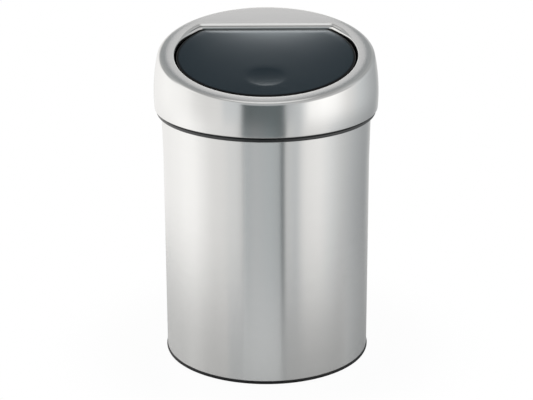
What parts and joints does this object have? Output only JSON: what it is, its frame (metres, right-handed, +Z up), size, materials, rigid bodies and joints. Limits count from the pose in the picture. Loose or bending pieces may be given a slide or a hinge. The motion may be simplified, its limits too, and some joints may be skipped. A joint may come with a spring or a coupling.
{
  "type": "push top countertop bin",
  "caption": "Small round countertop bin: brushed steel body, sloping lid with a sprung push-in flap, and a lift-out bucket with a bail.",
  "frame": {"origin": "middle of the rubber foot's underside, on the table", "axes": "+Z up, -Y towards the front, where the lid is lowest; +X to the right seen from the front"},
  "size_m": [0.1728, 0.1728, 0.2589],
  "materials": {
    "steel": "satin brushed",
    "lid_steel": "polished satin",
    "black_plastic": "moulded",
    "band": "moulded",
    "flap": "fine satin",
    "rubber": "matt",
    "grey_plastic": "moulded",
    "hardware": "zinc plated"
  },
  "bodies": {
    "bin_body": {"body_tube": "steel", "base_ring": "black_plastic", "rubber_foot": "rubber", "floor_disc": "grey_plastic"},
    "lid_unit": {"lid_shell": "lid_steel", "lid_frame": "black_plastic", "lid_band": "band", "hinge_bracket": "hardware", "bracket_screws": "hardware", "hinge_pin": "hardware", "pin_clip": "hardware", "hinge_spring": "hardware", "stop_buffers": "rubber"},
    "flap": {"flap_cover": "flap", "flap_liner": "black_plastic", "flap_screws": "hardware"},
    "bucket": {"inner_bucket": "grey_plastic"},
    "bail": {"bucket_bail": "hardware", "bail_grip": "black_plastic"}
  },
  "joints": [
    {"name": "lid_lift", "type": "slide", "parent": "bin_body", "child": "lid_unit", "axis": [0, 0, 1], "range_m": [0, 0.42]},
    {"name": "flap_push", "type": "hinge", "parent": "lid_unit", "child": "flap", "pos_m": [0, 0.038, 0.24316], "axis": [1, 0, 0], "range_deg": [0, 60], "stiffness_Nm_per_rad": 0.06, "springref_deg": -51.57, "deforming": ["hinge_spring"]},
    {"name": "bucket_lift", "type": "slide", "parent": "bin_body", "child": "bucket", "axis": [0, 0, 1], "range_m": [0, 0.22]},
    {"name": "bail_swing", "type": "hinge", "parent": "bucket", "child": "bail", "pos_m": [0, 0, 0.178], "axis": [-1, 0, 0], "range_deg": [0, 92]}
  ],
  "couplings": [
    {"joint": "bucket_lift", "follows": "lid_lift", "ratio": 0.5},
    {"joint": "bail_swing", "follows": "lid_lift", "rad_per_m": 3.74}
  ]
}
